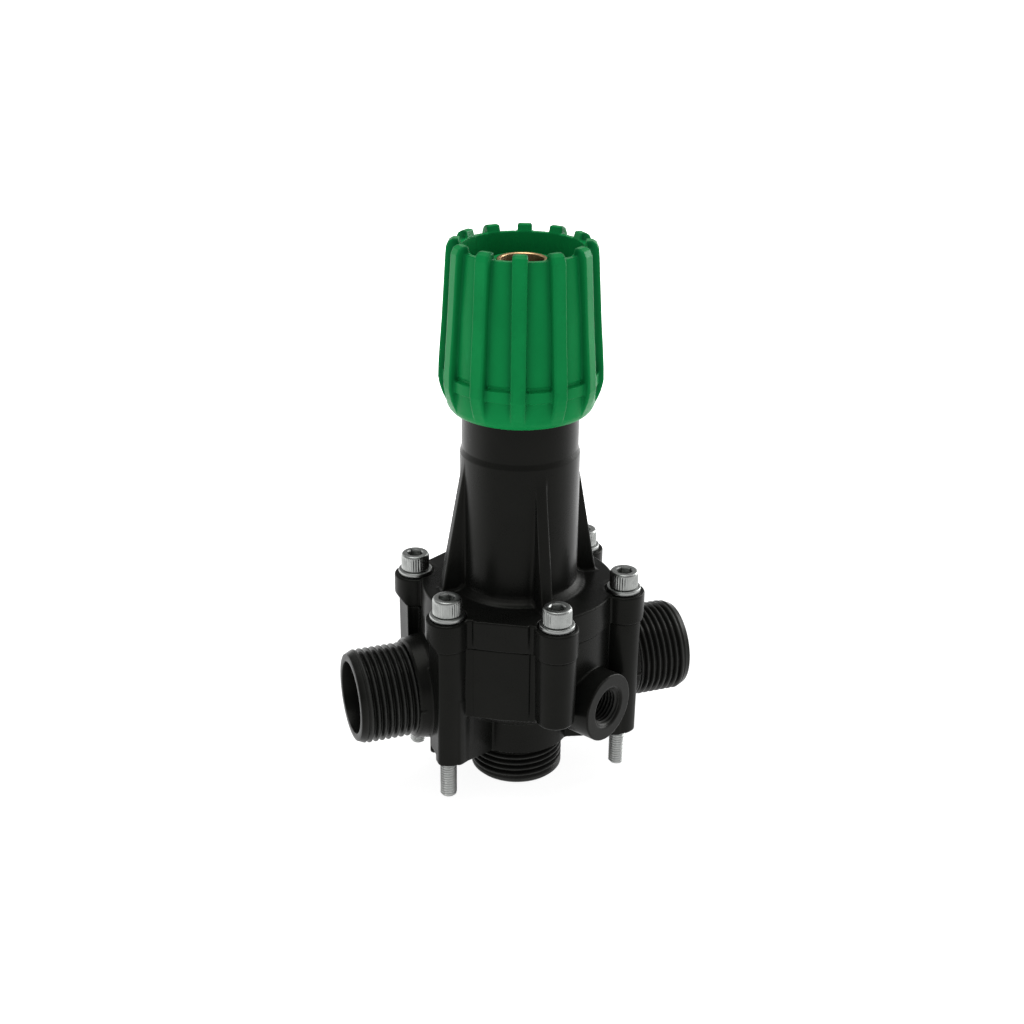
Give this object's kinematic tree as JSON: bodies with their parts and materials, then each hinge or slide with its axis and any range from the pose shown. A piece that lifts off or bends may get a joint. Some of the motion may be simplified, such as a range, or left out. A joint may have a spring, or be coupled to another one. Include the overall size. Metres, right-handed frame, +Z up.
{
  "type": "flow control valve",
  "caption": "Screw-adjusted flow and pressure control valve: ribbed knob over a bolted bonnet tower, in-line threaded side ports, a bottom port and a gauge port.",
  "frame": {"origin": "valve axis, at the end plane of the bottom port", "axes": "+Z up the valve axis to the knob, +X out of the right side port, -Y towards the side that holds the gauge port"},
  "size_m": [0.1244, 0.0898, 0.1971],
  "materials": {
    "black_nylon": "satin moulded glass-filled nylon",
    "knob_green": "satin moulded, bright green",
    "zinc_steel": "zinc plated, knurled heads",
    "spring_steel": "drawn wire, oiled",
    "stainless": "turned",
    "brass": "turned",
    "rubber": "moulded nitrile"
  },
  "bodies": {
    "housing": {"valve_body": "black_nylon", "bonnet": "black_nylon", "spindle_bush": "brass", "spindle_seal": "rubber", "pressure_spring": "spring_steel", "diaphragm": "rubber", "valve_seat": "brass", "seat_oring": "rubber", "threaded_inserts": "brass", "long_screws": "zinc_steel", "short_screws": "zinc_steel", "screw_washers": "zinc_steel"},
    "spring_follower": {"upper_spring_plate": "zinc_steel", "thrust_ball": "stainless"},
    "knob": {"control_knob": "knob_green", "adjusting_spindle": "brass", "retaining_ring": "stainless"},
    "poppet": {"valve_stem": "stainless", "valve_disc": "brass", "disc_seal": "rubber", "stem_guide": "brass", "diaphragm_washer": "brass", "lower_spring_plate": "zinc_steel", "stem_lock_washer": "zinc_steel", "stem_nut": "zinc_steel"}
  },
  "joints": [
    {"name": "follower_slide", "type": "slide", "parent": "housing", "child": "spring_follower", "axis": [0, 0, 1], "range_m": [-0.011, 0.002], "deforming": ["pressure_spring"]},
    {"name": "knob_turn", "type": "hinge", "parent": "spring_follower", "child": "knob", "pos_m": [0, 0, 0.165], "axis": [0, 0, 1], "range_deg": [-1985, 365]},
    {"name": "poppet_lift", "type": "slide", "parent": "housing", "child": "poppet", "axis": [0, 0, 1], "range_m": [0, 0.003], "stiffness_N_per_m": 3000, "springref_m": -0.003, "deforming": ["pressure_spring", "diaphragm"]}
  ],
  "couplings": [
    {"joint": "knob_turn", "follows": "follower_slide", "rad_per_m": 3141.6}
  ]
}
